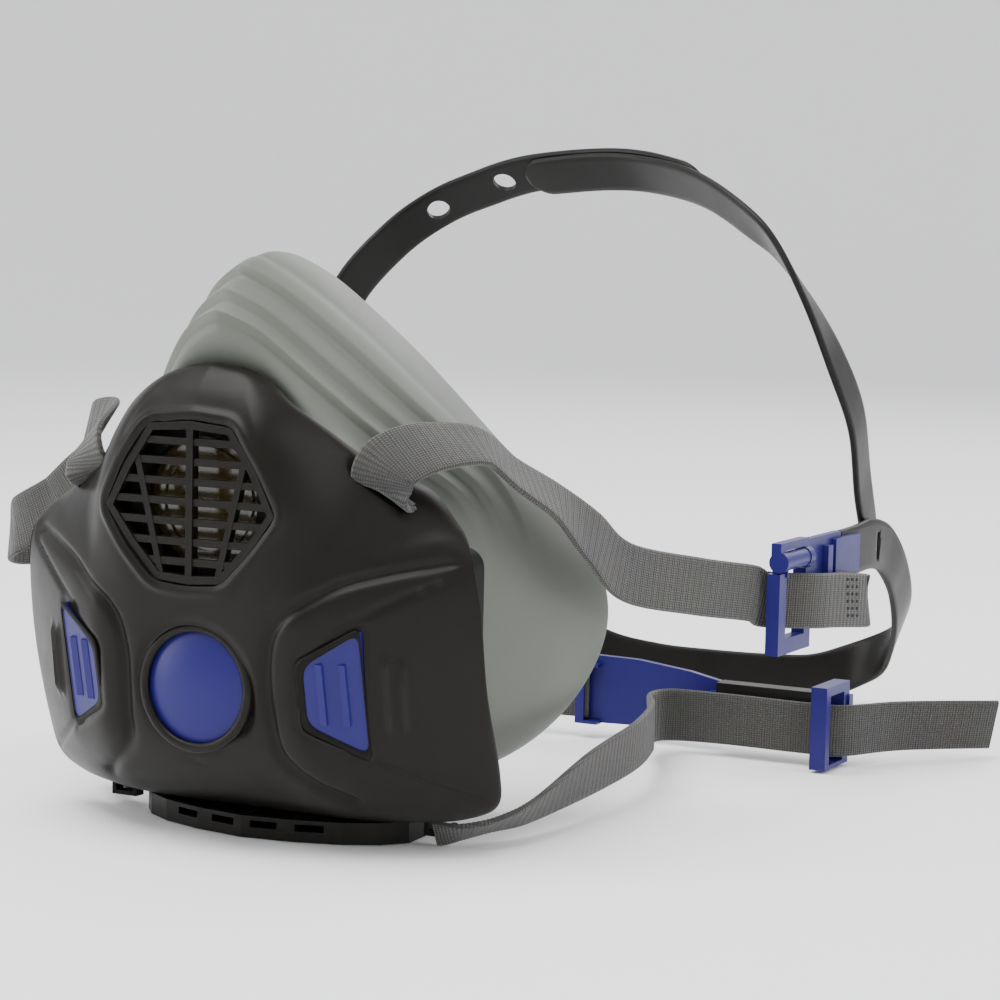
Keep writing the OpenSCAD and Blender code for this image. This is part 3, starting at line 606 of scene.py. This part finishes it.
RB = [[[74.2, 125, 56.4], [74.2, 125, 44.4]], [[74.2, 136, 56.6], [74.2, 136, 44.4]], [[74, 150, 57], [74, 148, 44.6]],
    [[73.8, 163, 53.5], [73.4, 157, 42.6]], [[73.2, 176, 44.5], [72.4, 168.5, 35]], [[70.5, 188, 33], [69, 180.8, 23.5]],
    [[63.6, 197, 23.5], [61.6, 193, 12.2]], [[52.6, 200, 17.6], [51.4, 198, 5.8]], [[41, 198, 13.8], [41, 197, 1.8]],
    [[28, 196, 13], [28, 194.6, 1.2]], [[12, 194, 13], [12, 192.6, 1.2]], [[-2, 190, 14], [-2, 188.4, 2.2]],
    [[-16, 184.6, 17.5], [-16, 182, 5.8]], [[-38, 182, 27], [-36, 178, 15.6]], [[-58, 178, 38.5], [-57, 172, 28]],
    [[-70, 170, 49], [-69.6, 163.6, 39]], [[-73.8, 160, 55.6], [-73.4, 154, 45]], [[-74.2, 146, 57.4], [-74.2, 145, 45]],
    [[-74.2, 135, 56.6], [-74.2, 135, 44.4]], [[-74.2, 125, 56.4], [-74.2, 125, 44.4]]]
band = strap("rear_band_moulded", RB, CTHK, 1.0, slot="harness_black", m=10)


def brick(a, b):
    v = [(x, y, z) for x in (a[0], b[0]) for y in (a[1], b[1]) for z in (a[2], b[2])]
    return v, [(0, 1, 3, 2), (4, 6, 7, 5), (0, 4, 5, 1), (2, 3, 7, 6), (0, 2, 6, 4), (1, 5, 7, 3)]


cut(band, [brick((40, 150.9, 46.5), (80, 153.1, 53.5)), brick((-80, 150.9, 46.5), (-40, 153.1, 53.5))])
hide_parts("rear_band")

# upper elastics: out of the slot, over the shell's edge, through the buckle and sewn back
UEL = [[[31.2, -26.0, 77.6], [39.6, -21.6, 71.6]], [[31.0, -31.0, 79.4], [39.9, -26.6, 73.2]], [[32.8, -29.2, 84.6], [41.2, -27.4, 77.8]],
    [[37.5, -19, 87.4], [44.5, -21, 81]], [[43.5, -2, 86], [48.5, -11, 81.5]], [[48, 7, 79.4], [53, -4, 75.6]],
    [[52.6, 17.5, 73.4], [56.6, 6.5, 68.8]], [[57.4, 25.6, 68], [59.4, 18.5, 58]], [[60, 35, 61], [61, 35, 48]],
    [[65.5, 61, 55.5], [65.5, 61.5, 42.5]], [[69.8, 82, 52], [69.8, 82.5, 39]], [[71.2, 88, 50], [71.2, 88.5, 37]],
    [[78.5, 99, 49], [78.5, 99.5, 36]], [[80, 110, 48], [80, 111.5, 35]], [[80, 127, 45.6], [80, 130, 33.2]],
    [[79.3, 128.6, 45.5], [79.3, 131.6, 33.1]], [[78.6, 127, 45.6], [78.6, 130, 33.2]], [[78.6, 112, 47.8], [78.6, 114, 34.8]]]
UER = [[[-31.2, -26.0, 77.6], [-39.6, -21.6, 71.6]], [[-31.0, -31.0, 79.4], [-39.9, -26.6, 73.2]], [[-32.8, -29.2, 84.6], [-41.0, -27.0, 77.4]],
    [[-37.5, -16, 89], [-43, -18, 79]], [[-47, -10, 88], [-50, -11, 76]], [[-53, -3, 84.5], [-54, -2, 72]],
    [[-58, 3, 78], [-59, 2, 65.5]], [[-67, 4, 70], [-67, 2.5, 57.5]], [[-79, 5, 63.5], [-79, 3.5, 51]], [[-84, 14, 60], [-84, 13, 47.5]],
    [[-84, 36, 58.5], [-84, 36, 46]], [[-76.5, 65, 56], [-76.5, 65, 43.5]], [[-70.5, 82, 52.5], [-70.5, 82.5, 39.5]],
    [[-71.2, 88, 50], [-71.2, 88.5, 37]], [[-78.5, 99, 49], [-78.5, 99.5, 36]], [[-80, 110, 48], [-80, 111.5, 35]],
    [[-80, 127, 45.6], [-80, 130, 33.2]], [[-79.3, 128.6, 45.5], [-79.3, 131.6, 33.1]], [[-78.6, 127, 45.6], [-78.6, 130, 33.2]],
    [[-78.6, 112, 47.8], [-78.6, 114, 34.8]]]
for name, st, cadn, s in (("upper_elastic_near", UEL, "upper_elastic_left", 1), ("upper_elastic_far", UER, "upper_elastic_right", -1)):
    ob = strap(name, st, 1.3, 0.29, width=13.0, ribs=0.09, pitch=0.95, m=12, body=None)
    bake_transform(ob)
    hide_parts(cadn)
    k = 0
    for row in range(6):
        for colm in range(3):
            y0 = 115.2 + colm * 3.0 + row * 0.2
            z0 = 46.0 - row * 1.75 - colm * 0.35
            lathe("stitch_%s_%d" % (name[-4:].strip("_"), k), (s * 80.72, y0, z0), (0, 1, -0.1),
                  [(0.05, -0.75), (0.34, -0.6), (0.42, 0), (0.34, 0.6), (0.05, 0.75)], "head_harness", "webbing", n=10, mat=THREAD)
            k += 1

# ---------------------------------------------------------------- lip around the button
def hoop(name, c, ax, prof, body, slot, n=96):
    """A closed ring swept from a closed (radius, height) outline."""
    ax = unit(np.asarray(ax, float))
    a = unit(np.cross(ax, [0.3, 0.2, 0.9]))
    b = np.cross(ax, a)
    ang = np.linspace(0, 2 * np.pi, n, endpoint=False)
    v = np.concatenate([np.asarray(c) + ax * h + (np.outer(np.cos(ang), a) + np.outer(np.sin(ang), b)) * r for r, h in prof])
    k = len(prof)
    f = [(i * n + j, i * n + (j + 1) % n, ((i + 1) % k) * n + (j + 1) % n, ((i + 1) % k) * n + j)
         for i in range(k) for j in range(n)]
    return mk(name, v, f, body, slot)


hoop("button_lip", (0, 0, BZ), (0, -1, 0), [(13.4, 40.6), (13.4, 41.7), (13.1, 42.1), (12.5, 42.3), (11.9, 42.2),
     (11.5, 41.9), (11.35, 41.5), (11.5, 41.25), (12.2, 41.2), (12.9, 40.6)], "facepiece", "shell_black")

# ---------------------------------------------------------------- skirt of the voice grille
def skirt(y0, y1, go, gi):
    a, b = rounded(grow(GH, go), 1.2), rounded(grow(GH, gi), 1.0)
    n = len(a)
    v = [(q[0], y, q[1]) for o, y in ((a, y0), (b, y0), (b, y1), (a, y1)) for q in o]
    f = [(r * n + j, r * n + (j + 1) % n, ((r + 1) % 4) * n + (j + 1) % n, ((r + 1) % 4) * n + j) for r in range(4) for j in range(n)]
    return v, f


GH = [[0, 88.7], [9.8, 87.8], [15.6, 79.5], [20.1, 70.6], [14.5, 63], [7.9, 56.2], [0, 55.6],
    [-7.9, 56.2], [-14.5, 63], [-20.1, 70.6], [-15.6, 79.5], [-9.8, 87.8]]
mk("grille_skirt", *skirt(-42.9, -36.2, 0.15, -0.75), "facepiece", "inner_black", smooth=False)

# ---------------------------------------------------------------- lips around the side windows
WN = np.array([[24.1, 27.3], [24.1, 41.2], [36, 48.7], [36, 21.2]])
WNC = np.array([30.5, 35.0])
for name, sgn in (("window_lip_near", 1), ("window_lip_far", -1)):
    qa = rounded(grow(WN, 0.5, WNC), 2.0, 8)
    qb = rounded(grow(WN, -1.15, WNC) + [0.35, 0.3], 2.6, 8)
    rings = [(qa, -0.04), (qa, -0.2), ((qa + qb) / 2, -0.38), (qb, -0.3), (qb, -0.04)]
    nq, nr = len(qa), len(rings)
    lv = [(sgn * q[0], -42.2 + o + 0.49 * (q[0] - 24.1) - 0.22 * (q[1] - 41.2), q[1]) for r, o in rings for q in r]
    lf = [(i * nq + j, i * nq + (j + 1) % nq, ((i + 1) % nr) * nq + (j + 1) % nq, ((i + 1) % nr) * nq + j)
          for i in range(nr) for j in range(nq)]
    mk(name, lv, lf, "facepiece", "inner_black")

# ---------------------------------------------------------------- neck strap
LEL = [[[41.8, -11.0, 5.0], [36.8, -10.2, 1.0]], [[46.5, -10.2, 5.6], [42.0, -7.4, 1.4]], [[51.6, -5.6, 6.8], [46.0, -0.8, 2.4]], [[55, 4, 9.6], [51, 8, 3.4]], [[56.2, 27, 15.8], [54.2, 29.6, 5.4]],
    [[52.6, 58, 17.4], [51.4, 60, 5.8]], [[44, 86, 16.8], [43, 88, 4.6]], [[35.5, 104, 16], [35.5, 106, 3.5]], [[37, 113.5, 15.8], [37, 114.5, 2.8]],
    [[50, 116, 15.6], [50, 116, 3.0]], [[70, 116.4, 15.4], [70, 116.4, 2.9]], [[79, 119.4, 15.1], [79, 119.4, 2.6]], [[89, 134, 14.9], [88, 136, 2.4]],
    [[107, 150, 14.5], [105, 154, 2.0]]]
LER = [[[-40.6, -7.6, 5.4], [-37.6, -6.2, 2.4]], [[-45.2, -6.6, 6.0], [-42.6, -3.6, 2.8]], [[-50.6, -1.6, 7.2], [-47.0, 2.8, 3.4]], [[-55, 4, 9.6], [-51, 8, 3.4]], [[-56.2, 27, 15.8], [-54.2, 29.6, 5.4]],
    [[-54, 60, 17.8], [-53, 62, 6.2]], [[-44, 88, 17.4], [-43, 90, 5.2]], [[-26, 108, 17.3], [-26, 110, 5.0]], [[-6, 117, 17.3], [-6, 118, 5.0]],
    [[11, 120.6, 17.3], [11, 120.8, 5.0]]]
a = strap("lower_elastic_near", LEL, 1.3, 0.29, body="neck_left", ribs=0.09, pitch=0.95, cup=0.0)
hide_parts("lower_elastic_left")
b = strap("lower_elastic_far", LER, 1.3, 0.29, body="neck_right", ribs=0.09, pitch=0.95, cup=0.0)
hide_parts("lower_elastic_right")

# ---------------------------------------------------------------- carried-over CAD nodes
slot_of = {p["node"]: p["material_slot"] for p in frame["record"]["subparts"]}
BEVEL = {"chin_cover": 0.9, "grille_cover": 0.4, "diaphragm_ring": 0.4, "button_sleeve": 0.3, "seal_check_button": 0.7,
    "release_button_left": 0.6, "release_button_right": 0.6, "buckle_plate_left": 0.45, "buckle_plate_right": 0.45,
    "buckle_frame_left": 0.6, "buckle_frame_right": 0.6, "clasp_hook": 0.5, "clasp_plate": 0.5, "clasp_slider": 0.6,
    "port_ring_left": 0.4, "port_ring_right": 0.4, "port_gasket_left": 0.25, "port_gasket_right": 0.25, "inner_body": 0.4, "lower_anchors": 0.3}
for name, ob in frame["nodes"].items():
    if ob.type != "MESH":
        continue
    m = MAT[slot_of[name]]
    if ob.data.materials:
        for i in range(len(ob.data.materials)):
            ob.data.materials[i] = m
    else:
        ob.data.materials.append(m)
    ob.data.polygons.foreach_set("use_smooth", [True] * len(ob.data.polygons))
    if name in BEVEL:
        soften(ob, BEVEL[name], 3, 30)

# ---------------------------------------------------------------- floor and light
me = bpy.data.meshes.new("floor")
prof = [(0.001, -0.0002), (0.8, -0.0002), (1.6, -0.0002)] + [(1.6 + 0.9 * math.sin(q), -0.0002 + 0.9 * (1 - math.cos(q)))
    for q in np.linspace(0.12, math.pi / 2, 12)] + [(2.5, 2.2)]
ang = np.linspace(0, 2 * math.pi, 64, endpoint=False)
bowl = np.array([[(r * math.cos(q), r * math.sin(q), h) for q in ang] for r, h in prof])
fv, ff = tube(bowl, caps=False)
me.from_pydata([tuple(float(c) for c in v) for v in fv], [], ff)
me.polygons.foreach_set("use_smooth", [True] * len(me.polygons))
fm = bpy.data.materials.new("floor_pale")
fm.use_nodes = True
fb = fm.node_tree.nodes["Principled BSDF"]
fb.inputs["Base Color"].default_value = (0.92, 0.92, 0.92, 1)
fb.inputs["Roughness"].default_value = 0.75
me.materials.append(fm)
floor = bpy.data.objects.new("floor", me)
bpy.context.scene.collection.objects.link(floor)


def area(name, loc, target, size, power):
    d = bpy.data.lights.new(name, "AREA")
    d.shape = "RECTANGLE"
    d.size, d.size_y = size
    d.energy = power
    o = bpy.data.objects.new(name, d)
    bpy.context.scene.collection.objects.link(o)
    z = unit(np.array(loc, float) - np.array(target, float))
    x = unit(np.cross([0, 0, 1.0], z) if abs(z[2]) < 0.99 else np.array([1.0, 0, 0]))
    y = np.cross(z, x)
    o.matrix_world = Matrix([[x[i], y[i], z[i], loc[i]] for i in range(3)] + [[0, 0, 0, 1]])
    return o


T = (0, 0.05, 0.06)
area("key_top", (-0.15, -0.25, 1.0), T, (0.9, 0.7), 16)
area("fill_left", (-1.0, -0.6, 0.45), T, (0.4, 0.9), 8)
area("fill_right", (1.0, 0.1, 0.5), T, (0.5, 0.9), 5)
area("rim_back", (0.1, 1.1, 0.7), T, (0.9, 0.4), 5)
w = bpy.data.worlds.new("studio")
bpy.context.scene.world = w
w.use_nodes = True
w.node_tree.nodes["Background"].inputs[0].default_value = (0.95, 0.96, 1.0, 1)
w.node_tree.nodes["Background"].inputs[1].default_value = 0.98
